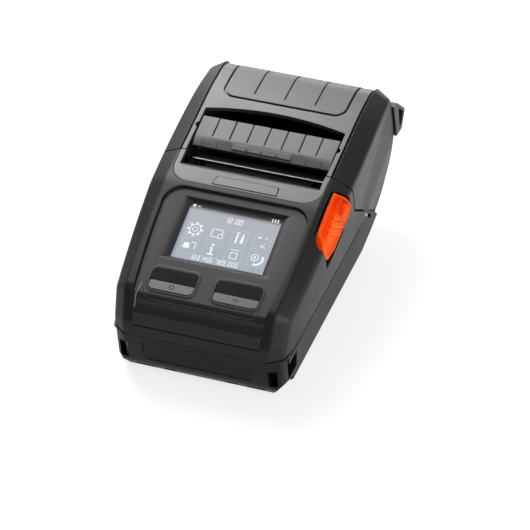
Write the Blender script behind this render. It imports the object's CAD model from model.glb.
"""Looks of the portable thermal printer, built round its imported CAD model. Metres, same frame."""
import math

import bmesh
import bpy
from mathutils import Matrix, Vector


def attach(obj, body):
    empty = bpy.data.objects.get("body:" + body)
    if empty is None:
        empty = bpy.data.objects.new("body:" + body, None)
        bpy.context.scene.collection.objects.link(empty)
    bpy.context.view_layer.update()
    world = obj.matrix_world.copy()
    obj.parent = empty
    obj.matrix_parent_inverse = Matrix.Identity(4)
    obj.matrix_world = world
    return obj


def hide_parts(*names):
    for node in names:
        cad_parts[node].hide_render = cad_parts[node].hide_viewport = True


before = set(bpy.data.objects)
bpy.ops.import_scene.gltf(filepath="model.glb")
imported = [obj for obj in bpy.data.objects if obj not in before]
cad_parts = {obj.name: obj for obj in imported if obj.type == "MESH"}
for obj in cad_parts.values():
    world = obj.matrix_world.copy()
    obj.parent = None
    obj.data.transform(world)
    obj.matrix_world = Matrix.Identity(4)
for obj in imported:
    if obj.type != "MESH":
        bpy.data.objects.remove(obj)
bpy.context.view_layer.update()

# Sizes that the finer meshes follow, in millimetres: x across, v from the front rearwards, z up
BODY_L = 177.6
SEAM_HALF_W, SEAM_Z = 47.7, 24.0
UPPER_HALF_W = 48.5  # the upper shells overhang the lower case a little, as in the photo
FADE_V, FADE_L = 118, 30  # where that overhang begins to end, and over what length
LOWER_DRAFT, UPPER_FLARE = 0.08, 0.121  # slope of the flanks below and above the seam
BULGE, BULGE_V, BULGE_FALL = 4.9, 105, 0.00058  # the bowed shoulders
RIM_HALF_W, RIM_TAPER_V, RIM_TAPER = 42.6, 48, 0.0011
BEVEL_D, WALL, GAP = 5.6, 2.2, 0.8
REAR_R, CREST_R = 11.0, 15  # rounding over the rear of the case, and of the door cover
KNEE_Z, TILT, TOP_Z = 47.3, 18.0, 79.4
FRONT_LIP, KNEE = (1.4, 31.5), (10.0, KNEE_Z)
CREASE = (73.0, KNEE_Z + 63 * math.tan(math.radians(TILT)))
CROWN_FRONT, CROWN_REAR = (141.0, TOP_Z), (166.2, TOP_Z)
WRAP_C, WRAP_R = (127.3, 47.0), 42.3
HINGE_C = (151.0, 19.2)
SPLIT_V = 93.8  # parting line between the upper case and the door
KEY_H, KEY_ROW, KEY_SPLIT = 13.0, 2.3, 7.9
KEY_X, KEY_HOLE_X = (5.4, 29.8), (5.1, 30.1)
LEVER = [(60.6, 64.5), (59.5, 60.4), (55.1, 56.2), (55.1, 54), (58.2, 47.5), (60.3, 45.5), (70.2, 44.2),
         (92.6, 50.9), (94.5, 53.4), (93.4, 56.2), (91.0, 59.4), (87.7, 64.4), (86.2, 68.0), (84.8, 70.0),
         (61.5, 66)]
FINGER = [(57.4, 49.5), (59.3, 40.2), (60.2, 39.6), (70, 41.2), (84, 45.6), (84, 49), (70, 46.5), (60, 49.5)]
LEVER_GAP, POCKET_X, POCKET_D = 0.6, 44.2, 4.2  # room round the lever, the pocket's inner end and depth
FINGER_D = 3.4
OUTSIDE = -2  # inset of a skin that stands clear of the case
TEETH_HALF_W, TEETH_PITCH, TEETH_COUNT = 37.1, 0.75, 99


# Side-view geometry, as in part.scad
def arc(c, r, a0, a1, n):
    """Points of an arc round c, from angle a0 to a1 in degrees."""
    turn = [math.radians(a0 + (a1 - a0) * i / n) for i in range(n + 1)]
    return [(c[0] + r * math.cos(a), c[1] + r * math.sin(a)) for a in turn]


def bend(a, p, b, r, n):
    """A rounded corner at p, on the way from a to b."""
    p = Vector(p)
    u, w = (Vector(a) - p).normalized(), (Vector(b) - p).normalized()
    half = math.acos(max(-1, min(1, u.dot(w)))) / 2
    c = p + (u + w).normalized() * r / math.sin(half)
    s, e = p + u * r / math.tan(half) - c, p + w * r / math.tan(half) - c
    a0 = math.degrees(math.atan2(s.y, s.x))
    turn = (math.degrees(math.atan2(e.y, e.x)) - a0 + 180) % 360 - 180
    return arc(c, r, a0, a0 + turn, n)


def fill(points, step):
    """The same line with long stretches divided, so that curved sections can follow it."""
    out = [points[0]]
    for p, q in zip(points, points[1:]):
        n = max(1, int(math.dist(p, q) / step))
        out += [(p[0] + (q[0] - p[0]) * i / n, p[1] + (q[1] - p[1]) * i / n) for i in range(1, n + 1)]
    return out


def top_line(rear_r):
    """The case's outline from the side, over the top from the front's foot to the rear's."""
    start = (WRAP_C[0] + WRAP_R * math.cos(math.radians(5)), WRAP_C[1] + WRAP_R * math.sin(math.radians(5)))
    line = ([(0, 14), (0, 25)] + bend((0, 25), FRONT_LIP, KNEE, 14, 6)
            + bend(FRONT_LIP, KNEE, CREASE, 9, 12) + bend(KNEE, CREASE, CROWN_FRONT, 40, 8)
            + bend(CREASE, CROWN_FRONT, CROWN_REAR, 135, 12)
            + bend(CROWN_FRONT, CROWN_REAR, start, rear_r, 16) + arc(WRAP_C, WRAP_R, 5, -82, 36)
            + [(122, 4.2)])
    return fill(line, 4.0)


def inward(line, i):
    """Direction into the body at point i of the line."""
    a, b = Vector(line[max(i - 1, 0)]), Vector(line[min(i + 1, len(line) - 1)])
    d = (b - a).normalized()
    return Vector((d.y, -d.x))


def flank(v, z):
    """Half width of the body at station v and height z."""
    if z < SEAM_Z - 0.5:
        return SEAM_HALF_W - LOWER_DRAFT * (SEAM_Z - z)
    wide = UPPER_HALF_W + (SEAM_HALF_W - UPPER_HALF_W) * min(1, max(0, (v - FADE_V) / FADE_L))
    return min(SEAM_HALF_W + BULGE - BULGE_FALL * (v - BULGE_V) ** 2, wide + UPPER_FLARE * (z - SEAM_Z))


def rim(v):
    """Half width of the top face at station v."""
    return RIM_HALF_W - RIM_TAPER * max(0, RIM_TAPER_V - v) ** 2


def rounded(points, reach, n):
    """A 3-D polyline with each inner corner rounded; reach is how far the rounding extends."""
    out = [points[0]]
    for i in range(1, len(points) - 1):
        a, p, b = Vector(points[i - 1]), Vector(points[i]), Vector(points[i + 1])
        r = reach[i]
        if r <= 0:
            out.append(p)
            continue
        s = p + (a - p) * min(0.48, r / max((a - p).length, 1e-6))
        e = p + (b - p) * min(0.48, r / max((b - p).length, 1e-6))
        for k in range(n + 1):
            t = k / n
            out.append(s * (1 - t) ** 2 + p * 2 * t * (1 - t) + e * t ** 2)
    out.append(points[-1])
    return [Vector(p) for p in out]


def half_section(line, i, inset, foot):
    """[x, v, z] points of one half section, rim to foot, with soft rim and shoulder corners."""
    n = inward(line, i)
    p = Vector(line[i]) + n * inset
    d = BEVEL_D - inset * 0.4
    s, c = p + n * (d + 1.1), p + n * d * 0.82
    x_s = flank(s.x, s.y) - inset
    x_r = min(rim(p.x) - inset * 0.5, x_s - 1.5)
    share = min(0.9, (s.y - SEAM_Z) / (s.y - foot[1])) if s.y > SEAM_Z + 4 else 0.5
    m = s + (Vector(foot) - s) * share
    corners = [(x_r - 1.3, p.x, p.y), (x_r, p.x + n.x * 0.3, p.y + n.y * 0.3),
               (x_s - 1.0, c.x, c.y), (x_s, s.x, s.y),
               (flank(m.x, m.y) - inset, m.x, m.y),
               (flank(foot[0], foot[1]) - inset, foot[0], foot[1])]
    return rounded(corners, [0, 0.9, 1.5, 2.6, 0, 0], 4)


def new_mesh(name, points, faces):
    """An object from points in millimetres, its faces turned outwards."""
    mesh = bpy.data.meshes.new(name)
    mesh.from_pydata([(p[0] * 0.001, p[1] * 0.001, p[2] * 0.001) for p in points], [], faces)
    mesh.validate()
    obj = bpy.data.objects.new(name, mesh)
    bpy.context.scene.collection.objects.link(obj)
    bm = bmesh.new()
    bm.from_mesh(mesh)
    bmesh.ops.recalc_face_normals(bm, faces=bm.faces)
    bm.to_mesh(mesh)
    bm.free()
    return obj


def prism(name, near, far):
    """A closed solid between two outlines that have the same number of points."""
    k = len(near)
    faces = [tuple(range(k)), tuple(range(2 * k - 1, k - 1, -1))]
    faces += [(i, (i + 1) % k, k + (i + 1) % k, k + i) for i in range(k)]
    return new_mesh(name, near + far, faces)


def ringed(name, points, n):
    """A closed solid through rings of n points each."""
    k = len(points) // n
    faces = [(i * n + j, i * n + (j + 1) % n, (i + 1) * n + (j + 1) % n, (i + 1) * n + j)
             for i in range(k - 1) for j in range(n)]
    faces += [tuple(range(n)), tuple(range(k * n - 1, (k - 1) * n - 1, -1))]
    return new_mesh(name, points, faces)


def ym(v):
    """Frame y, in millimetres, of station v."""
    return v - BODY_L / 2


def skin(inset=0.0, rear_r=REAR_R):
    """The body's outer form, or its inner form when inset is the wall."""
    line = top_line(rear_r)
    n = len(line)
    # feet keep the same spacing as in part.scad: by station along the coarse line
    first = Vector(line[0]) + inward(line, 0) * (inset + BEVEL_D) + Vector((6, 0))
    last = Vector(line[-1]) + inward(line, n - 1) * (inset + BEVEL_D)
    along = [0.0]
    for p, q in zip(line, line[1:]):
        along.append(along[-1] + math.dist(p, q))
    rows = []
    for i in range(n):
        t = along[i] / along[-1]
        half = half_section(line, i, inset, tuple(first.lerp(last, t)))
        rows.append([(-p[0], ym(p[1]), p[2]) for p in reversed(half)]
                    + [(p[0], ym(p[1]), p[2]) for p in half])
    m = len(rows[0])
    points = [p for row in rows for p in row]
    faces = [(i * m + j, (i + 1) * m + j, (i + 1) * m + (j + 1) % m, i * m + (j + 1) % m)
             for i in range(n - 1) for j in range(m)]
    faces += [tuple(range(m)), tuple((n - 1) * m + j for j in reversed(range(m)))]
    return new_mesh("skin", points, faces)


def side_prism(outline, x0=-60.0, x1=60.0):
    """An outline [v, z] seen from the side, extruded across."""
    return prism("side", *[[(x, ym(v), z) for v, z in outline] for x in (x0, x1)])


def plan_prism(outline, z0=0.0, z1=100.0):
    """An outline [x, v] seen from above, extruded upwards."""
    return prism("plan", *[[(x, ym(v), z) for x, v in outline] for z in (z0, z1)])


def panel_point(x, w, n):
    """A point given on the control panel: x across, w up the slope, n out of the rim plane."""
    a = math.radians(TILT)
    return (x, ym(KNEE[0]) + w * math.cos(a) - n * math.sin(a),
            KNEE[1] + w * math.sin(a) + n * math.cos(a))


def panel_prism(outline, n0, n1, shrink=None):
    """An outline [x, w] on the panel, raised from depth n0 to n1; shrink is the outline at n1."""
    return prism("onpanel", [panel_point(x, w, n0) for x, w in outline],
                 [panel_point(x, w, n1) for x, w in shrink or outline])


def panel_side(outline, x0, x1):
    """An outline [w, n] on the panel, extruded across from x0 to x1."""
    return prism("across", *[[panel_point(x, w, n) for w, n in outline] for x in (x0, x1)])


def quad(half_w, w0, w1):
    """A rectangle [x, w], as wide to the left as to the right."""
    return [(-half_w, w0), (half_w, w0), (half_w, w1), (-half_w, w1)]


def round_rect(x0, y0, x1, y1, r, n=8):
    return (arc((x1 - r, y0 + r), r, -90, 0, n) + arc((x1 - r, y1 - r), r, 0, 90, n)
            + arc((x0 + r, y1 - r), r, 90, 180, n) + arc((x0 + r, y0 + r), r, 180, 270, n))


def combine(base, tool, operation):
    """Boolean of two closed meshes; the tool is used up."""
    mod = base.modifiers.new("b", "BOOLEAN")
    mod.operation, mod.object, mod.solver = operation, tool, "MANIFOLD"
    bpy.context.view_layer.update()
    done = bpy.data.meshes.new_from_object(base.evaluated_get(bpy.context.evaluated_depsgraph_get()))
    base.modifiers.clear()
    old, base.data = base.data, done
    bpy.data.meshes.remove(old)
    drop(tool)
    return base


def drop(obj):
    mesh = obj.data
    bpy.data.objects.remove(obj)
    if mesh.users == 0:
        bpy.data.meshes.remove(mesh)


def minus(base, *tools):
    for t in tools:
        combine(base, t, "DIFFERENCE")
    return base


def both(base, *tools):
    for t in tools:
        combine(base, t, "INTERSECT")
    return base


def plus(base, *tools):
    for t in tools:
        combine(base, t, "UNION")
    return base


def layer(outer, inner, rear_r=REAR_R):
    """What lies between two insets of the skin."""
    return minus(skin(outer, rear_r), skin(inner, rear_r))


def shell(rear_r=REAR_R):
    return layer(0.0, WALL, rear_r)


def split_line(g):
    """The parting line between the upper case and the door, moved rearwards by g."""
    return [(SPLIT_V + g, 95), (SPLIT_V + g, 66), (96 + g, 62.4 + g), (102 + g, 44.6 + g)]


def front_outline(g):
    """Side view of the upper case, smaller by g along its parting lines."""
    return ([(-5, SEAM_Z + g), (119.6 - g, SEAM_Z + g), (119.6 - g, 29.65 - g)] + split_line(-g)[::-1]
            + [(-5, 95)])


def door_outline(g):
    """Side view of the door, smaller by g at the parting line, round about its hinge."""
    return split_line(g) + arc(HINGE_C, 13.3, 203.5, 240, 10) + [(190, -5), (190, 95)]


def recess_plan(g):
    """Plan of the control panel's recess, grown by g."""
    right = [(34.4 + g, -2), (34.6 + g, 2), (36.2 + g, 10), (37.2 + g, 20), (38.2 + g, 32), (39 + g, 44)]
    return (right + arc((29.6, 61), 10 + g, 8, 90, 10) + arc((-29.6, 61), 10 + g, 90, 172, 10)
            + [(-x, v) for x, v in reversed(right)])


# The recess floor from the side: front lip, plateau of the keys, slope of the window
RECESS = ([(1.0, 30.8), (3.2, 36.4)] + arc((-4.5, 46), 12.6, -48, -14, 10)
          + [(9.0, 45.0), (10.4, 45.75), (71.4, 65.55)])


def below(line, d):
    """The line moved into the body by d, from its end back to its start."""
    return [tuple(Vector(line[i]) + inward(line, i) * d) for i in range(len(line) - 1, -1, -1)]


def cover_plan(g):
    """Plan of the head cover, grown by g."""
    return (arc((31.2, 84), 10 + g, -90, 0, 10) + [(41.4 + g, 96), (-41.4 - g, 96)]
            + arc((-31.2, 84), 10 + g, 180, 270, 10))


def opening_plan(v0, w):
    """Plan of the paper opening: straight sides at half width w, and an arched rear edge."""
    r, v1 = 170.0, 123.3
    rear = [w * (1 - i / 12) for i in range(25)]
    return [(-w, v0), (w, v0)] + [(x, v1 + math.sqrt(r * r - x * x) - math.sqrt(r * r - w * w)) for x in rear]


def grown(outline, centre, by):
    """The outline with each point moved away from the centre."""
    return [tuple(Vector(p) + (Vector(p) - Vector(centre)).normalized() * by) for p in outline]


def lever_zone(grow, x0):
    return side_prism(grown(LEVER, (76, 57), grow), x0, 60)


def lever_room():
    """The pocket's space, also beside the lever's two slanted ends, which rise as it is pulled."""
    front = [(60.4, 65.5), (58.3, 61.6), (53.9, 57.4), (54.0, 55.0), (56, 55.6), (61, 61)]
    rear = [(86.0, 67.0), (90.0, 58.6), (92.2, 60.2), (88.9, 65.3), (87.4, 68.6)]
    return plus(lever_zone(LEVER_GAP, POCKET_X),
                plus(side_prism(front, POCKET_X, 60), side_prism(rear, POCKET_X, 60)))


def finger_zone(grow):
    return side_prism(grown(FINGER, (68, 45), grow), 46, 60)


def pad_plan(g):
    """Plan of the grip pad, grown by g."""
    return (arc((28, 140), 6 + g, -90, 0, 8) + [(34 + g, 200), (-34 - g, 200)]
            + arc((-28, 140), 6 + g, 180, 270, 8))


# Materials: all procedural, in object coordinates, with fine grain and light wear on edges
EDGE_R = 0.0005


def start_material(name):
    """A new material with its nodes and links."""
    mat = bpy.data.materials.new(name)
    mat.use_nodes = True
    return mat, mat.node_tree.nodes, mat.node_tree.links


def material(name, base, rough, grain=0.00025, bump=0.12, mottle=0.06, wear=0.6, metallic=0.0,
             coat=0.0, specular=0.5, wear_colour=None):
    """A surface with grain of the given size in metres, mottled colour and gloss, and worn edges."""
    mat, n, link = start_material(name)
    bsdf = n["Principled BSDF"]
    bsdf.inputs["Metallic"].default_value = metallic
    bsdf.inputs["Coat Weight"].default_value = coat
    bsdf.inputs["Specular IOR Level"].default_value = specular
    place = n.new("ShaderNodeTexCoord")
    fine = n.new("ShaderNodeTexNoise")
    fine.inputs["Scale"].default_value = 1 / grain
    fine.inputs["Detail"].default_value = 3
    wide = n.new("ShaderNodeTexNoise")
    wide.inputs["Scale"].default_value = 60
    wide.inputs["Detail"].default_value = 5
    link.new(place.outputs["Object"], fine.inputs["Vector"])
    link.new(place.outputs["Object"], wide.inputs["Vector"])
    rounded_edge = n.new("ShaderNodeBevel")
    rounded_edge.samples = 4
    rounded_edge.inputs["Radius"].default_value = EDGE_R
    relief = n.new("ShaderNodeBump")
    relief.inputs["Strength"].default_value = bump
    relief.inputs["Distance"].default_value = 0.0001
    link.new(fine.outputs["Fac"], relief.inputs["Height"])
    link.new(rounded_edge.outputs["Normal"], relief.inputs["Normal"])
    link.new(relief.outputs["Normal"], bsdf.inputs["Normal"])
    # edge mask: where the rounded normal leaves the flat one
    shape = n.new("ShaderNodeNewGeometry")
    dot = n.new("ShaderNodeVectorMath")
    dot.operation = "DOT_PRODUCT"
    link.new(rounded_edge.outputs["Normal"], dot.inputs[0])
    link.new(shape.outputs["Normal"], dot.inputs[1])
    mask = n.new("ShaderNodeMapRange")
    mask.inputs["From Min"].default_value = 0.99
    mask.inputs["From Max"].default_value = 0.86
    mask.inputs["To Max"].default_value = wear
    link.new(dot.outputs["Value"], mask.inputs["Value"])
    tone = n.new("ShaderNodeMix")
    tone.data_type = "RGBA"
    tone.inputs["A"].default_value = (*[c * (1 - mottle) for c in base], 1)
    tone.inputs["B"].default_value = (*[min(1, c * (1 + mottle)) for c in base], 1)
    link.new(wide.outputs["Fac"], tone.inputs["Factor"])
    worn = n.new("ShaderNodeMix")
    worn.data_type = "RGBA"
    worn.inputs["B"].default_value = (*(wear_colour or [min(1, c * 2.0 + 0.06) for c in base]), 1)
    link.new(mask.outputs["Result"], worn.inputs["Factor"])
    link.new(tone.outputs["Result"], worn.inputs["A"])
    link.new(worn.outputs["Result"], bsdf.inputs["Base Color"])
    gloss = n.new("ShaderNodeMapRange")
    gloss.inputs["To Min"].default_value = rough - 0.05
    gloss.inputs["To Max"].default_value = rough + 0.05
    link.new(wide.outputs["Fac"], gloss.inputs["Value"])
    link.new(gloss.outputs["Result"], bsdf.inputs["Roughness"])
    return mat


def clear_pane(name):
    """Display window: lets the lit screen through and mirrors the surroundings by Fresnel."""
    mat, n, link = start_material(name)
    n.remove(n["Principled BSDF"])
    through, gloss, mix, fresnel, place, smear, level = [n.new(kind) for kind in (
        "ShaderNodeBsdfTransparent", "ShaderNodeBsdfGlossy", "ShaderNodeMixShader", "ShaderNodeFresnel",
        "ShaderNodeTexCoord", "ShaderNodeTexNoise", "ShaderNodeMapRange")]
    fresnel.inputs["IOR"].default_value = 1.16
    smear.inputs["Scale"].default_value = 90
    link.new(place.outputs["Object"], smear.inputs["Vector"])
    link.new(smear.outputs["Fac"], level.inputs["Value"])
    level.inputs["To Min"].default_value, level.inputs["To Max"].default_value = 0.04, 0.16
    link.new(level.outputs["Result"], gloss.inputs["Roughness"])
    link.new(fresnel.outputs["Fac"], mix.inputs["Fac"])
    link.new(through.outputs["BSDF"], mix.inputs[1])
    link.new(gloss.outputs["BSDF"], mix.inputs[2])
    link.new(mix.outputs["Shader"], n["Material Output"].inputs["Surface"])
    return mat


DISPLAY_Y = (-0.0555, -0.0225)


def lit(name, low, high):
    """A lit surface whose colour runs from low to high up the display, with fine pixel rows."""
    mat, n, link = start_material(name)
    bsdf = n["Principled BSDF"]
    bsdf.inputs["Base Color"].default_value = (0.02, 0.02, 0.02, 1)
    bsdf.inputs["Roughness"].default_value = 0.4
    bsdf.inputs["Emission Strength"].default_value = 1.0
    place, split, along, tone, rows, fine = [n.new(kind) for kind in (
        "ShaderNodeTexCoord", "ShaderNodeSeparateXYZ", "ShaderNodeMapRange", "ShaderNodeMix",
        "ShaderNodeTexWave", "ShaderNodeMix")]
    tone.data_type = fine.data_type = "RGBA"
    link.new(place.outputs["Object"], split.inputs["Vector"])
    link.new(split.outputs["Y"], along.inputs["Value"])
    along.inputs["From Min"].default_value, along.inputs["From Max"].default_value = DISPLAY_Y
    tone.inputs["A"].default_value, tone.inputs["B"].default_value = (*low, 1), (*high, 1)
    link.new(along.outputs["Result"], tone.inputs["Factor"])
    rows.inputs["Scale"].default_value = 900
    rows.bands_direction = "X"
    link.new(place.outputs["Object"], rows.inputs["Vector"])
    fine.blend_type = "MULTIPLY"
    fine.inputs["Factor"].default_value = 0.06
    link.new(tone.outputs["Result"], fine.inputs["A"])
    link.new(rows.outputs["Color"], fine.inputs["B"])
    link.new(fine.outputs["Result"], bsdf.inputs["Emission Color"])
    return mat


case_mat = material("case plastic", (0.014, 0.0137, 0.0145), 0.42, bump=0.14, wear=0.25, specular=0.22)
low_mat = material("lower case plastic", (0.006, 0.006, 0.0064), 0.46, bump=0.14, specular=0.18)
trim_mat = material("trim plastic", (0.026, 0.0255, 0.026), 0.40, bump=0.10, specular=0.48)
panel_mat = material("panel plastic", (0.016, 0.0158, 0.0165), 0.42, bump=0.10, specular=0.34)
key_mat = material("key plastic", (0.013, 0.013, 0.0135), 0.34, bump=0.06, specular=0.28)
dark_mat = material("inner plastic", (0.006, 0.006, 0.0065), 0.55, specular=0.2)
pad_mat = material("soft touch pad", (0.028, 0.0275, 0.028), 0.44, grain=0.0006, bump=0.5, specular=0.48)
flap_mat = material("flap plastic", (0.034, 0.0335, 0.034), 0.42, bump=0.10, specular=0.5)
orange_mat = material("lever plastic", (0.86, 0.050, 0.001), 0.55, grain=0.0004, bump=0.06, wear=0.8,
                      wear_colour=(1.0, 0.26, 0.05), mottle=0.04, specular=0.04)
rubber_mat = material("roller rubber", (0.018, 0.018, 0.018), 0.7, grain=0.0004, bump=0.3)
steel_mat = material("steel", (0.55, 0.55, 0.56), 0.30, grain=0.0003, bump=0.08, metallic=1.0, wear=0.2)
bar_steel = material("brushed bar", (0.30, 0.30, 0.305), 0.42, bump=0.08, metallic=1.0, wear=0.2)
blade_mat = material("blackened steel", (0.03, 0.03, 0.031), 0.5, bump=0.08, metallic=0.5, wear=0.3)
brass_mat = material("brass", (0.70, 0.50, 0.22), 0.32, metallic=1.0, wear=0.2)
board_mat = material("circuit board", (0.02, 0.13, 0.06), 0.45, grain=0.0008, coat=0.3)
white_mat = material("acetal", (0.72, 0.72, 0.69), 0.45, wear=0.1)
module_mat = material("display frame", (0.45, 0.46, 0.48), 0.4, metallic=0.4)
light_mat = material("light guide", (0.42, 0.43, 0.44), 0.25, wear=0.1)
mark_mat = material("key print", (0.004, 0.004, 0.004), 0.6, grain=0.0004, specular=0.1)
pane_mat = clear_pane("window pane")
screen_mat = lit("lit screen", (0.29, 0.36, 0.43), (0.345, 0.345, 0.385))
icon_mat = lit("lit icons", (0.86, 0.88, 0.92), (0.80, 0.81, 0.85))
faint_mat = lit("dim icons", (0.46, 0.52, 0.58), (0.52, 0.53, 0.58))
bar_mat = lit("status bar", (0.012, 0.012, 0.013), (0.012, 0.012, 0.013))
rule_mat = lit("status rule", (0.20, 0.20, 0.22), (0.20, 0.20, 0.22))


def soften(obj, angle):
    """Smooth shading except over edges sharper than the angle."""
    bm = bmesh.new()
    bm.from_mesh(obj.data)
    bmesh.ops.remove_doubles(bm, verts=bm.verts, dist=1e-6)
    bmesh.ops.dissolve_degenerate(bm, dist=1e-6, edges=bm.edges)
    for f in bm.faces:
        f.smooth = True
    for e in bm.edges:
        e.smooth = len(e.link_faces) == 2 and e.calc_face_angle(3.0) < math.radians(angle)
    bm.to_mesh(obj.data)
    bm.free()
    weigh = obj.modifiers.new("normals", "WEIGHTED_NORMAL")
    weigh.keep_sharp = True


def fit_piece(obj, name, body, mat, nodes=(), angle=32):
    """Names and finishes a piece; it rides on its body and stands in for the CAD nodes given."""
    obj.name = obj.data.name = name
    obj.data.materials.clear()
    obj.data.materials.append(mat)
    soften(obj, angle)
    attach(obj, body)
    if nodes:
        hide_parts(*nodes)
    return obj


def node_copy(node):
    """A CAD node's mesh with its flat faces joined, to be worked on further."""
    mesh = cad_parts[node].data.copy()
    obj = bpy.data.objects.new(node + "_fine", mesh)
    bpy.context.scene.collection.objects.link(obj)
    bm = bmesh.new()
    bm.from_mesh(mesh)
    bmesh.ops.remove_doubles(bm, verts=bm.verts, dist=2e-6)
    bmesh.ops.dissolve_limit(bm, angle_limit=math.radians(1.0), verts=bm.verts, edges=bm.edges)
    bm.to_mesh(mesh)
    bm.free()
    return obj


def bevelled(obj, width, segments=2):
    """The object with its edges bevelled, width in millimetres."""
    mod = obj.modifiers.new("edges", "BEVEL")
    mod.width, mod.segments, mod.limit_method = width * 0.001, segments, "ANGLE"
    mod.angle_limit = math.radians(40)
    mod.use_clamp_overlap = True
    bpy.context.view_layer.update()
    done = bpy.data.meshes.new_from_object(obj.evaluated_get(bpy.context.evaluated_depsgraph_get()))
    obj.modifiers.clear()
    obj.data = done
    return obj


# Upper case, with the lever's pocket, a finger pocket under its tip and openings for panel and head
def make_upper_case():
    piece = both(shell(), side_prism(front_outline(GAP / 2)))
    pocket = plus(layer(POCKET_D, 5.4), minus(skin(1.2), skin(5.4), lever_zone(LEVER_GAP, POCKET_X)))
    plus(piece, both(pocket, lever_zone(1.8, POCKET_X - 1.4)), both(layer(1.2, 4.6), finger_zone(1.2)))
    minus(piece, both(lever_room(), layer(OUTSIDE, POCKET_D)))
    minus(piece, both(finger_zone(0), layer(OUTSIDE, FINGER_D)))
    minus(piece, both(plan_prism(cover_plan(0.3)), layer(OUTSIDE, WALL + 0.3)))
    minus(piece, both(plan_prism(recess_plan(0.2)),
                      side_prism(below(RECESS, 2.7) + [(-5, 30.2), (-5, 90), (71.6, 90)])))
    return minus(piece, plan_prism(quad(38.8, 84, 96)))


fit_piece(make_upper_case(), "upper_shell", "case", case_mat, ["upper_case"])


# Head cover, with rounded front corners and a seat for the bare plate
def make_head_cover():
    piece = both(shell(), plan_prism(cover_plan(0)),
                 side_prism([(60, 20), (60, 95), (93.6, 95), (93.6, 20)]))
    minus(piece, plan_prism([(-38.6, 84.3), (-TEETH_HALF_W, 84.3), (-TEETH_HALF_W, 83.6),
                             (TEETH_HALF_W, 83.6), (TEETH_HALF_W, 84.3), (38.6, 84.3),
                             (38.6, 110), (-38.6, 110)]))
    return minus(piece, minus(plan_prism([(-17.2, 75), (18.6, 75), (18, 80.8), (-16.2, 80.8)]), skin(0.5)))


def make_plate():
    return both(layer(-0.22, 0.52), plan_prism([(-16.9, 75.3), (18.3, 75.3), (17.7, 80.5), (-15.9, 80.5)]))


fit_piece(make_head_cover(), "head_trim", "case", trim_mat, ["head_cover"])
fit_piece(make_plate(), "bare_plate", "case", trim_mat)


# Fine teeth along the head cover's rear edge
def make_teeth():
    outline = [(-TEETH_HALF_W, 83.2), (TEETH_HALF_W, 83.2)]
    for i in range(TEETH_COUNT):
        x = TEETH_HALF_W - i * TEETH_PITCH
        outline += [(x, 83.7), (x - TEETH_PITCH / 2, 85.3)]
    outline.append((-TEETH_HALF_W, 83.7))
    return both(plan_prism(outline, 60, 80), layer(0.15, 0.9))


fit_piece(make_teeth(), "tear_teeth", "case", trim_mat)


# Door: cover, cheeks, pad
def make_door_cover():
    front, half = SPLIT_V + GAP / 2, RIM_HALF_W - 1.3
    piece = both(shell(CREST_R),
                 side_prism([(front, 95), (front, 60), (120, 40), (151, 30), (151, -5), (190, -5), (190, 95)],
                            -half, half))
    minus(piece, plan_prism(opening_plan(80, 39)))
    for side in (-1, 1):
        minus(piece, plan_prism([(side * 38.5, 109.9), (side * 40.1, 110.6), (side * 40.4, 111.8),
                                 (side * 39.9, 112.9), (side * 38.5, 113.4)][::side], 66))
    pocket = both(plan_prism(pad_plan(0.7)), layer(OUTSIDE, 1, CREST_R),
                  side_prism([(100, 52), (190, 52), (190, 95), (100, 95)]))
    return minus(piece, pocket)


def make_cheek(side):
    x0, x1 = (RIM_HALF_W - 0.2, 60) if side > 0 else (-60, 0.2 - RIM_HALF_W)
    return both(shell(), side_prism(door_outline(GAP / 2), x0, x1))


def make_pad():
    piece = both(layer(-0.15, 0.9, CREST_R), plan_prism(pad_plan(-0.5)),
                 side_prism([(100, 52.5), (190, 52.5), (190, 95), (100, 95)]))
    for x in (-17, 0, 17):
        groove = plan_prism([(x - 0.5, 138.2), (x + 0.5, 138.2), (x + 0.5, 200), (x - 0.5, 200)])
        minus(piece, minus(groove, skin(0.5, CREST_R)))
    return piece


fit_piece(make_door_cover(), "door_shell", "door", trim_mat, ["door_cover"])
fit_piece(make_cheek(1), "cheek_right", "door", case_mat, ["door_cheek_right"])
fit_piece(make_cheek(-1), "cheek_left", "door", case_mat, ["door_cheek_left"])
fit_piece(make_pad(), "pad_soft", "door", pad_mat, ["grip_pad"])


# Release lever: a shell with a raised rim, a finger scoop at its rear and three ribs
SCOOP_C, SCOOP_R, SCOOP_TURN = (54.2, 83.6, 62.0), (5.2, 9.0, 6.0), -35


def ellipsoid(centre, radii, n=20, turn=0.0):
    """An ellipsoid round [x, v, z], turned about the x axis by degrees."""
    rings = []
    for i in range(1, n):
        a = math.pi * i / n
        rings.append([(radii[0] * math.cos(a), radii[1] * math.sin(a) * math.cos(math.tau * j / (2 * n)),
                       radii[2] * math.sin(a) * math.sin(math.tau * j / (2 * n))) for j in range(2 * n)])
    points = [p for ring in rings for p in ring] + [(radii[0], 0, 0), (-radii[0], 0, 0)]
    m, k = 2 * n, (n - 1) * 2 * n
    faces = [(i * m + j, i * m + (j + 1) % m, (i + 1) * m + (j + 1) % m, (i + 1) * m + j)
             for i in range(n - 2) for j in range(m)]
    faces += [(k, (j + 1) % m, j) for j in range(m)]
    faces += [(k + 1, (n - 2) * m + j, (n - 2) * m + (j + 1) % m) for j in range(m)]
    c, t = (centre[0], ym(centre[1]), centre[2]), math.radians(turn)
    return new_mesh("ball", [(c[0] + x, c[1] + y * math.cos(t) - z * math.sin(t),
                              c[2] + y * math.sin(t) + z * math.cos(t)) for x, y, z in points], faces)


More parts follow.
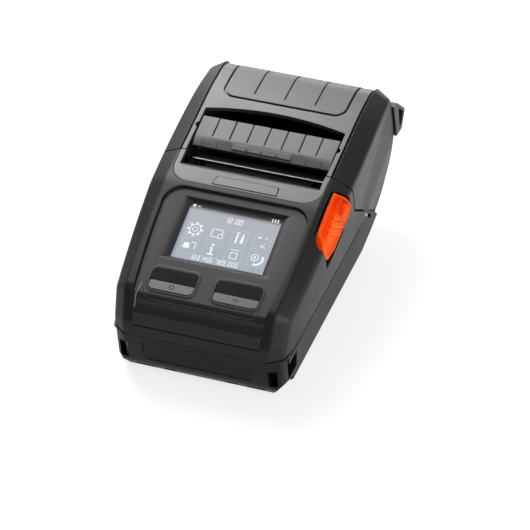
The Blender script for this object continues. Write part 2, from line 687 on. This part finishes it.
def rib_band(start, low, high, x0):
    """A strip across the lever's flank, between two distances from the rib's line."""
    along, up = Vector((0.763, -0.646)), Vector((0.646, 0.763))
    p, q = Vector(start) + along * 2.5, Vector(start) + along * 26
    return side_prism([tuple(p + up * low), tuple(q + up * low), tuple(q + up * high),
                       tuple(p + up * high)], x0)


def make_lever():
    form = both(layer(-0.05, 2.0), lever_zone(0, 45.8))
    plus(form, both(layer(0.6, 3.6), lever_zone(-1.6, 47.2),
                    side_prism([(74, 40), (96, 40), (96, 80), (74, 80)])))
    minus(form, both(lever_zone(-1.35, 46.9), layer(OUTSIDE, 0.95)))
    minus(form, both(ellipsoid(SCOOP_C, SCOOP_R, turn=SCOOP_TURN), lever_zone(-1.5, 47.2)))
    # each rib stands over a groove along its lower side
    for start in ((66.1, 66.9), (62.0, 65.2), (58.5, 63.1)):
        minus(form, both(rib_band(start, -0.5, 0.6, 49.9), layer(OUTSIDE, 1.75), lever_zone(-0.9, 46)))
        plus(form, both(rib_band(start, 0.6, 1.9, 50.2), layer(0.2, 1.6), lever_zone(-0.3, 46)))
    return form


def lever_plastic():
    """The orange, lighter where the light shines through its thin flank and deeper in the scoop."""
    n, link = orange_mat.node_tree.nodes, orange_mat.node_tree.links
    worn = n["Principled BSDF"].inputs["Base Color"].links[0].from_node
    tone = worn.inputs["A"].links[0].from_socket
    place, split, thin, light, reach, deep, dark = [n.new(kind) for kind in (
        "ShaderNodeTexCoord", "ShaderNodeSeparateXYZ", "ShaderNodeMapRange", "ShaderNodeMix",
        "ShaderNodeVectorMath", "ShaderNodeMapRange", "ShaderNodeMix")]
    link.new(place.outputs["Object"], split.inputs["Vector"])
    thin.inputs["From Min"].default_value, thin.inputs["From Max"].default_value = 0.0492, 0.0506
    link.new(split.outputs["X"], thin.inputs["Value"])
    light.data_type = dark.data_type = "RGBA"
    light.inputs["B"].default_value = (0.95, 0.135, 0.012, 1)
    link.new(thin.outputs["Result"], light.inputs["Factor"])
    link.new(tone, light.inputs["A"])
    reach.operation = "DISTANCE"
    reach.inputs[1].default_value = (0.0515, -0.0052, 0.0615)
    link.new(place.outputs["Object"], reach.inputs[0])
    deep.inputs["From Min"].default_value, deep.inputs["From Max"].default_value = 0.0095, 0.0035
    link.new(reach.outputs["Value"], deep.inputs["Value"])
    dark.inputs["B"].default_value = (0.74, 0.024, 0.0008, 1)
    link.new(deep.outputs["Result"], dark.inputs["Factor"])
    link.new(light.outputs["Result"], dark.inputs["A"])
    link.new(dark.outputs["Result"], worn.inputs["A"])


lever_plastic()
fit_piece(make_lever(), "lever_shell", "lever", orange_mat, ["release_lever"])


def surface_z(v):
    """Height of the recess floor at station v."""
    for p, q in zip(RECESS, RECESS[1:]):
        if p[0] <= v <= q[0]:
            return p[1] + (q[1] - p[1]) * (v - p[0]) / (q[0] - p[0])
    return RECESS[-1][1]


def tube(points, r, n=8):
    """A thin round bead along [x, v, z] points."""
    points = [Vector((p[0], ym(p[1]), p[2])) for p in points]
    out, k = [], len(points)
    for i, p in enumerate(points):
        d = (points[min(i + 1, k - 1)] - points[max(i - 1, 0)]).normalized()
        a = d.cross(Vector((0, 0, 1)))
        a = a.normalized() if a.length > 0.1 else Vector((1, 0, 0))
        b = d.cross(a)
        size = r * (0.35 if i in (0, k - 1) else 1)
        out += [p + (a * math.cos(t) + b * math.sin(t)) * size for t in [math.tau * j / n for j in range(n)]]
    return ringed("bead", out, n)


# Control panel: recessed plate, sloping frame round the window, raised rings round the keys
SLIT = [(-35.0, 5.4), (-34.3, 5.4), (-33.2, 16.4), (-34.0, 16.4)]
FRAME_OUTLINE, VIEW_HALF_W, VIEW_TOP = [(-30.2, 21.2), (30.2, 21.2), (29.2, 59.3), (-29.2, 59.3)], 25.2, 58.8


def make_panel():
    piece = both(side_prism(RECESS + below(RECESS, 2.4)), plan_prism(recess_plan(0)))
    minus(piece, panel_prism(quad(VIEW_HALF_W, 24.1, VIEW_TOP), -3.72, -1.5, FRAME_OUTLINE))
    minus(piece, panel_prism(FRAME_OUTLINE, -1.52, 2))
    minus(piece, panel_prism(quad(VIEW_HALF_W, 24, VIEW_TOP), -10, 2))
    for side in (-1, 1):
        x0, x1 = sorted(side * x for x in KEY_HOLE_X)
        foot = round_rect(x0 - 1.3, KEY_ROW - 1.6, x1 + 1.3, KEY_ROW + KEY_H + 1.6, 4.6)
        crest = round_rect(x0 - 0.9, KEY_ROW - 1.2, x1 + 0.9, KEY_ROW + KEY_H + 1.2, 4.2)
        plus(piece, panel_prism(foot, -2.2, -1.1, crest))
        minus(piece, panel_prism(round_rect(x0, KEY_ROW - 0.3, x1, KEY_ROW + KEY_H + 0.3, 3.3), -10, 2))
    return minus(piece, plan_prism(SLIT))


fit_piece(make_panel(), "panel_plate", "case", panel_mat, ["control_panel"])

# bead along the front edge of the key plateau, its ends turning up beside the key blocks
turn_up = arc((27, 12.6), 4.5, -75, 15, 8)
bead = [(-x, v) for x, v in reversed(turn_up)] + [(x, 8.1) for x in range(-27, 28, 3)] + turn_up
bead = [(x, v, surface_z(v) - 0.02) for x, v in bead]
fit_piece(tube(bead, 0.3), "plateau_bead", "case", panel_mat)

# light guide that follows the floor of its slit over the plateau's edge
guide = both(side_prism([(v, z - 0.25) for v, z in RECESS[:-1]] + [(30, 51.9), (30, 49)]
                        + below(RECESS[:-1], 2.0)),
             plan_prism([(-34.85, 5.6), (-34.45, 5.6), (-33.35, 16.2), (-33.8, 16.2)]))
fit_piece(guide, "light_guide", "case", light_mat, ["status_light"])


# Keys: two tilted caps in each block, meeting in a shallow valley
KEY_LOW = (KEY_ROW, KEY_SPLIT - 0.05)
KEY_UP = (KEY_SPLIT + 0.35, KEY_ROW + KEY_H)


def key_top(w):
    """Height of the key tops over the rim plane."""
    if w < KEY_SPLIT + 0.15:
        return -0.80 - 0.85 * (w - KEY_ROW) / (KEY_SPLIT - KEY_ROW)
    return -2.00 + 1.30 * (w - KEY_SPLIT) / (KEY_ROW + KEY_H - KEY_SPLIT)


def make_key(side, row):
    x0, x1 = sorted(side * x for x in KEY_X)
    w0, w1 = row
    block = panel_prism(round_rect(x0, KEY_ROW, x1, KEY_ROW + KEY_H, 3.0), -3.4, 2)
    piece = both(block, panel_side([(w0, -3.4), (w1, -3.4), (w1, key_top(w1)), (w0, key_top(w0))], -40, 40))
    return bevelled(piece, 0.45, 4)


for node, side, row in (("key_left_lower", -1, KEY_LOW), ("key_left_upper", -1, KEY_UP),
                        ("key_right_lower", 1, KEY_LOW), ("key_right_upper", 1, KEY_UP)):
    fit_piece(make_key(side, row), node + "_cap", node, key_mat, [node], 40)


# Lit screen under the window, with generic signs and plain digits
def strip(points, width, closed=False):
    """Quads along a line of [x, w] points, as a list of four-point outlines."""
    line = points + points[:1] if closed else points
    out = []
    for p, q in zip(line, line[1:]):
        d = (Vector(q) - Vector(p)).normalized()
        side, end = Vector((-d.y, d.x)) * width / 2, d * width * 0.3
        p, q = Vector(p) - end, Vector(q) + end
        out.append([tuple(p - side), tuple(q - side), tuple(q + side), tuple(p + side)])
    return out


def ring(c, r, width, n=20, a0=0, a1=360):
    return strip(arc(c, r, a0, a1, n), width)


def disc(c, r, n=16):
    return [arc(c, r, 0, 360 * (n - 1) / n, n - 1)]


SEGMENTS = {"0": "abcdef", "1": "bc", "2": "abged", "3": "abgcd", "4": "fgbc", "5": "afgcd", "6": "afgedc",
            "7": "abc", "8": "abcdefg", "9": "abcdfg"}


def digits(text, x, w, size, width):
    """Seven-bar digits from the left end x, standing on row w."""
    h = size / 2
    bars = {"a": ((0, 2), (1, 2)), "b": ((1, 2), (1, 1)), "c": ((1, 1), (1, 0)), "d": ((0, 0), (1, 0)),
            "e": ((0, 1), (0, 0)), "f": ((0, 2), (0, 1)), "g": ((0, 1), (1, 1))}
    out = []
    for ch in text:
        if ch in SEGMENTS:
            for bar in SEGMENTS[ch]:
                p, q = bars[bar]
                out += strip([(x + p[0] * h, w + p[1] * h), (x + q[0] * h, w + q[1] * h)], width)
        elif ch in ".:":
            out += disc((x + h / 2, w + 0.2), width * 0.6, 8)
            if ch == ":":
                out += disc((x + h / 2, w + size * 0.6), width * 0.6, 8)
        x += size * (0.85 if ch in SEGMENTS else 0.5)
    return out


def thin_plates(name, shapes, low, high):
    """Flat shapes [x, w] on the panel, each a thin plate between the heights low(w) and high(w)."""
    points, faces = [], []
    for shape in shapes:
        k, at = len(shape), len(points)
        points += [panel_point(x, w, height(w)) for height in (low, high) for x, w in shape]
        faces += [tuple(range(at + k - 1, at - 1, -1)), tuple(range(at + k, at + 2 * k))]
        faces += [(at + i, at + (i + 1) % k, at + k + (i + 1) % k, at + k + i) for i in range(k)]
    return new_mesh(name, points, faces)


def on_screen(name, shapes, n, mat):
    plates = thin_plates(name, shapes, lambda w: n, lambda w: n + 0.012)
    return fit_piece(plates, name, "case", mat)


def on_key(name, shapes, node):
    plates = thin_plates(name, shapes, lambda w: key_top(w) - 0.05, lambda w: key_top(w) + 0.02)
    return fit_piece(plates, name, node, mark_mat)


on_key("mark_ring", ring((-17.2, 5.2), 1.2, 0.4), "key_left_lower")
on_key("mark_feed", strip([(-19.4, 11.2), (-15.4, 11.2)], 0.4)
       + strip([(-16.4, 12.0), (-15.2, 11.2), (-16.4, 10.4)], 0.4), "key_left_upper")
on_key("mark_up", strip([(16.2, 4.6), (17.6, 5.9), (19.0, 4.6)], 0.45), "key_right_lower")
on_key("mark_tick", strip([(16.2, 11.6), (17.2, 10.7), (19.6, 12.4)], 0.45), "key_right_upper")


def path(x, w, steps, width, closed=False):
    """A strip through steps counted from a sign's centre."""
    return strip([(x + dx, w + dw) for dx, dw in steps], width, closed)


def cog_sign(x, w):
    teeth = [(math.cos(i * 0.785), math.sin(i * 0.785)) for i in range(8)]
    return ring((x, w), 1.3, 0.4) + ring((x, w), 3.0, 0.5) + [
        m for c, t in teeth for m in strip([(x + 3 * c, w + 3 * t), (x + 3.9 * c, w + 3.9 * t)], 1.1)]


def card_sign(x, w):
    return (path(x, w, [(-3, -2), (-3, 2.4), (2.4, 2.4), (3, 0)], 0.45)
            + path(x, w, [(-3, -2.2), (0.4, -2.2)], 0.45) + ring((x + 2, w - 1.4), 1.3, 0.45))


def tools_sign(x, w):
    pen = [(0.7, -3), (2.5, -3), (2.2, 1), (1.6, 3.3), (1.0, 1)]
    return (path(x, w, [(-1.5, -3), (-1.5, 1.6)], 1.1) + path(x, w, [(-2.1, 2.8), (-0.8, 2.8)], 0.9)
            + [[(x + dx, w + dw) for dx, dw in pen]])


def link_sign(x, w):
    return (path(x, w, [(-2.6, 2.6), (-1.2, 2.6)], 0.9) + path(x, w, [(0.8, 2.6), (2.4, 2.6)], 0.5)
            + path(x, w, [(2, -0.6), (-0.4, -2.4), (2.6, -2.9)], 0.4))


def tray_sign(x, w):
    tray = [(-3.4, -1.6), (0.6, -1.6), (-0.2, 1.6), (-2.8, 1.6)]
    return [[(x + dx, w + dw) for dx, dw in tray]] + path(x, w, [(0.8, 2.2), (3.2, 2.2), (3.2, -1.4)], 0.5)


def info_sign(x, w):
    return (disc((x + 0.1, w + 3), 0.8, 10) + path(x, w, [(-0.9, 1.1), (0.2, 1.1), (0.2, -2.3)], 0.9)
            + path(x, w, [(-1.3, -2.5), (1.6, -2.5)], 0.8))


def box_sign(x, w):
    return (path(x, w, [(-1.6, -2.6), (-1.6, 1), (2, 1), (2, -2.6)], 0.45, True)
            + path(x, w, [(-2.4, 2.6), (2.4, 2.6)], 0.45))


def dial_sign(x, w):
    return (ring((x - 0.8, w + 0.8), 1.9, 0.5) + disc((x - 0.8, w + 0.8), 0.7, 10)
            + ring((x + 0.2, w), 3.4, 1.1, 12, -100, 30))


SCREEN_N, SCREEN_HALF_W, SCREEN_TOP, RULE_W, BAR_W = -5.17, 25.6, 59.6, 54.7, 55.9
COLUMNS, ROW_UP, ROW_LOW = (-18.4, -6.2, 6.1, 18.4), 43.0, 33.0
SIGNS = ((ROW_UP, (cog_sign, card_sign, tools_sign, link_sign)),
         (ROW_LOW, (tray_sign, info_sign, box_sign, dial_sign)))


def screen_marks():
    """Clock, status marks, number row and the eight signs."""
    marks = digits("12:00", -4.6, 50.6, 2.6, 0.42) + digits("123.456.789.000", -15.6, 25.9, 2.3, 0.34)
    marks += strip([(-24, 56.7), (-23, 56.7)], 1.3) + strip([(-21.4, 56.6), (-20.2, 56.6)], 0.5)
    for i in range(3):
        marks += strip([(19.6 + i * 1.5, 56), (19.6 + i * 1.5, 57.6)], 0.7)
    for row, signs in SIGNS:
        for x, sign in zip(COLUMNS, signs):
            marks += sign(x, row)
    return marks


frames = [m for x in COLUMNS for row in (ROW_UP, ROW_LOW)
          for m in path(x, row, [(-4.3, -4.2), (4.3, -4.2), (4.3, 4.2), (-4.3, 4.2)], 0.22, True)]
fit_piece(panel_prism(quad(SCREEN_HALF_W, 23.2, SCREEN_TOP), -5.2, SCREEN_N + 0.01),
          "screen", "case", screen_mat)
on_screen("screen_bar", [quad(SCREEN_HALF_W, BAR_W, SCREEN_TOP)], SCREEN_N + 0.008, bar_mat)
on_screen("screen_rule", [quad(SCREEN_HALF_W, RULE_W, BAR_W)], SCREEN_N + 0.008, rule_mat)
on_screen("screen_signs", screen_marks(), SCREEN_N + 0.02, icon_mat)
on_screen("screen_frames", frames, SCREEN_N + 0.015, faint_mat)


# Steel ends of the strap bars, seen in the slots under the door
STRAP_END = [(121.5, 23.5), (121.5, 25.8), (122.2, 25.8), (127.2, 21.4), (127.2, 18.7)]
for name, x0, x1 in (("strap_end_left", -47.2, -44.0), ("strap_end_right", 44.0, 47.2)):
    fit_piece(bevelled(side_prism(STRAP_END, x0, x1), 0.3), name, "case", bar_steel)


# Peel bar, as thin as it shows in the photo, with rounded ends
ROD_R, ROD_C, ROD_SIDES = 0.52, (96.2, 64.4), 16


def make_bar():
    turn = [math.tau * j / ROD_SIDES for j in range(ROD_SIDES)]
    ends = [(-36.8, 0.3), (-36.5, 1), (36.5, 1), (36.8, 0.3)]
    points = [(x, ym(ROD_C[0]) + ROD_R * k * math.cos(t), ROD_C[1] + ROD_R * k * math.sin(t))
              for x, k in ends for t in turn]
    return ringed("bar", points, ROD_SIDES)


fit_piece(make_bar(), "peel_rod", "case", bar_steel, ["peel_bar"])


# Peeler flap: the CAD form with a raised tab on its lower band, notches and small pips
def make_flap():
    piece = node_copy("peeler_flap")
    plus(piece, side_prism([(104.5, 71.4), (104.4, 72.05), (104.1, 72.25), (101.1, 71.15), (100.9, 70.85),
                            (101.1, 69.9)], -16.3, 16.3))
    for x in (-8.2, 0, 8.2):
        minus(piece, side_prism([(99, 68), (102.3, 71.2), (102.3, 74), (99, 74)], x - 0.3, x + 0.3))
    for x in (-33, -24.8, 24.8, 33):
        minus(piece, side_prism([(99, 68), (101.9, 70.4), (101.9, 74), (99, 74)], x - 0.2, x + 0.2))
        plus(piece, ellipsoid((x - 0.2, 103.3, 71.42), (0.35, 0.35, 0.3), 6))
    return piece


fit_piece(make_flap(), "flap", "peeler", flap_mat, ["peeler_flap"], 25)


# Lower case: the CAD form with its front corners rounded, its lower corners cut back, and a slanted
# groove in each flank that shows as the dark line under the seam
CORNER = [(50, -2), (50, 9), (46.4, 9), (45.9, 5.2), (44.6, 2.4), (42.4, 0.9), (39.5, 0.2), (39.5, -2)]
WEDGE = [(37.4, -2), (37.4, -0.2), (45.2, 9.4), (52, 12), (52, -2)]
GROOVE = [(48.2, 23.0), (48.2, 24.1), (46.5, 20.5), (46.5, 19.4)]


def make_lower_case():
    piece = node_copy("lower_case")
    for side in (-1, 1):
        minus(piece, plan_prism([(side * x, v) for x, v in CORNER][::side], -2, 22.9))
        minus(piece, prism("wedge", [(side * x, ym(-3), z) for x, z in WEDGE],
                           [(side * (x + 3.5), ym(16), z - 2.5) for x, z in WEDGE]))
        minus(piece, prism("groove", *[[(side * x, ym(v), z) for x, z in GROOVE] for v in (9.8, 118.4)]))
    return piece


fit_piece(make_lower_case(), "lower_shell", "case", low_mat, ["lower_case"], 25)


# Everything else keeps its CAD shape and takes a finish
for mat, names in (
        (low_mat, "battery_pack port_cover"),
        (case_mat, "strap_loop_right strap_loop_left"),
        (dark_mat, "door_liner roll_bucket media_guide_left media_guide_right print_head power_jack "
                   "media_sensor latch_bar idler_gear platen_gear"),
        (pane_mat, "display_window"), (module_mat, "display_module"),
        (rubber_mat, "platen_roller peeler_roller key_mat"),
        (steel_mat, "strap_bars usb_socket heat_sink head_pin feed_motor idler_axle hinge_pin "
                    "case_screws platen_shaft radio_module"),
        (blade_mat, "tear_bar mech_frame lever_pin"),
        (brass_mat, "battery_contacts jack_pin platen_bushes motor_pinion"),
        (board_mat, "main_board port_board key_board"),
        (white_mat, "guide_pinion")):
    for name in names.split():
        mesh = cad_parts[name].data
        mesh.materials.clear()
        mesh.materials.append(mat)


# Camera at the photograph's viewing angle: turn, tilt and roll fitted to the case's edges
CAMERA_PLACE = (0.5625, -1.2413, 1.1967)
turn, tilt, roll = math.radians(24.28), math.radians(41.17), math.radians(-5)
back = Vector((math.sin(turn) * math.cos(tilt), -math.cos(turn) * math.cos(tilt), math.sin(tilt)))
right = Vector((math.cos(turn), math.sin(turn), 0))
upward = back.cross(right)
x_axis = right * math.cos(roll) + upward * math.sin(roll)
y_axis = upward * math.cos(roll) - right * math.sin(roll)
lens = bpy.data.cameras.new("camera")
lens.sensor_width, lens.lens = 36, 232.9
camera = bpy.data.objects.new("camera", lens)
bpy.context.scene.collection.objects.link(camera)
camera.matrix_world = Matrix(
    [(x_axis[i], y_axis[i], back[i], CAMERA_PLACE[i]) for i in range(3)] + [(0, 0, 0, 1)])
bpy.context.scene.camera = camera


# Pale floor and soft studio light
FLOOR_TONE, FLOOR_GLOW, FLOOR_REACH, WORLD_LEVEL = 0.36, 0.72, 6, 0.22


def floor_material():
    """Pale and matt, with a glow that only the camera, mirrors and clear panes see."""
    mat, n, link = start_material("pale floor")
    bsdf = n["Principled BSDF"]
    bsdf.inputs["Base Color"].default_value = (FLOOR_TONE, FLOOR_TONE, FLOOR_TONE, 1)
    bsdf.inputs["Roughness"].default_value = 0.9
    bsdf.inputs["Specular IOR Level"].default_value = 0.0
    seen, glow, add, first, either, level = [n.new(kind) for kind in (
        "ShaderNodeLightPath", "ShaderNodeEmission", "ShaderNodeAddShader", "ShaderNodeMath",
        "ShaderNodeMath", "ShaderNodeMath")]
    first.operation = either.operation = "MAXIMUM"
    link.new(seen.outputs["Is Camera Ray"], first.inputs[0])
    link.new(seen.outputs["Is Glossy Ray"], first.inputs[1])
    link.new(first.outputs["Value"], either.inputs[0])
    link.new(seen.outputs["Is Transmission Ray"], either.inputs[1])
    level.operation = "MULTIPLY"
    level.inputs[1].default_value = FLOOR_GLOW
    link.new(either.outputs["Value"], level.inputs[0])
    link.new(level.outputs["Value"], glow.inputs["Strength"])
    link.new(bsdf.outputs["BSDF"], add.inputs[0])
    link.new(glow.outputs["Emission"], add.inputs[1])
    link.new(add.outputs["Shader"], n["Material Output"].inputs["Surface"])
    return mat


floor_mesh = bpy.data.meshes.new("floor")
corners = [(-FLOOR_REACH, -FLOOR_REACH), (FLOOR_REACH, -FLOOR_REACH), (FLOOR_REACH, FLOOR_REACH),
           (-FLOOR_REACH, FLOOR_REACH)]
floor_mesh.from_pydata([(x, y, -0.0004) for x, y in corners], [], [(0, 1, 2, 3)])
floor_mesh.materials.append(floor_material())
floor = bpy.data.objects.new("floor", floor_mesh)
bpy.context.scene.collection.objects.link(floor)


def softbox(name, place, aim, size, power):
    """A rectangular lamp at place, turned to aim; size in metres, power in watts."""
    lamp = bpy.data.lights.new(name, "AREA")
    lamp.shape, lamp.size, lamp.size_y = "RECTANGLE", size[0], size[1]
    lamp.energy = power
    obj = bpy.data.objects.new(name, lamp)
    bpy.context.scene.collection.objects.link(obj)
    obj.location = place
    obj.rotation_euler = (Vector(aim) - Vector(place)).to_track_quat("-Z", "Y").to_euler()


softbox("key light", (-0.34, 0.37, 0.56), (0, 0.02, 0.06), (0.36, 0.46), 6.6)
softbox("top light", (-0.36, 0.20, 1.15), (0, -0.02, 0.06), (0.5, 0.30), 0.95)
softbox("back light", (-0.35, 1.25, 0.42), (0, 0, 0.06), (1.6, 0.6), 14)
softbox("fill light", (1.6, -0.5, 0.60), (0, 0, 0.05), (1.2, 1.2), 27)

world = bpy.data.worlds.new("studio")
bpy.context.scene.world = world
world.use_nodes = True
backdrop = world.node_tree.nodes["Background"]
backdrop.inputs["Color"].default_value = (1, 1, 1, 1)
backdrop.inputs["Strength"].default_value = WORLD_LEVEL

bpy.context.scene.view_settings.view_transform = "Standard"
